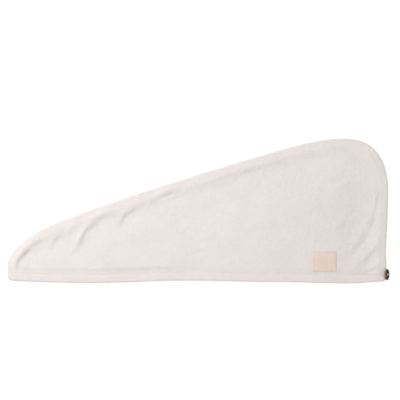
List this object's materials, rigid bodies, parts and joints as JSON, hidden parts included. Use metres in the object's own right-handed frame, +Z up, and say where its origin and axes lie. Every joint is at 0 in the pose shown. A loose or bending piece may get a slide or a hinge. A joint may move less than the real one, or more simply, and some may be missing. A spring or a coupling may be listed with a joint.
{
  "type": "hair turban towel",
  "caption": "Terry hair turban towel lying flat: long tapering tail, wide hollow head end open along a straight hem, blank patch, small button.",
  "frame": {"origin": "middle of the underside of the bounding box, on the surface that the towel lies on", "axes": "+X from the tail's tip towards the head end, +Y from the hem towards the curved seam, +Z up from the surface"},
  "size_m": [0.6526, 0.2486, 0.0181],
  "materials": {
    "terry": "cream cotton terry with short loops, matt and soft",
    "patch": "pale beige smooth patch, blank, with a pressed line inside its edge",
    "button": "dark brown polished button with a paler brown rim and streaks",
    "thread": "cream sewing thread"
  },
  "bodies": {
    "root": {"front_panel": "terry", "back_panel": "terry", "hem_front": "terry", "hem_back": "terry", "label_patch": "patch", "button": "button", "button_shank": "thread"}
  },
  "joints": []
}
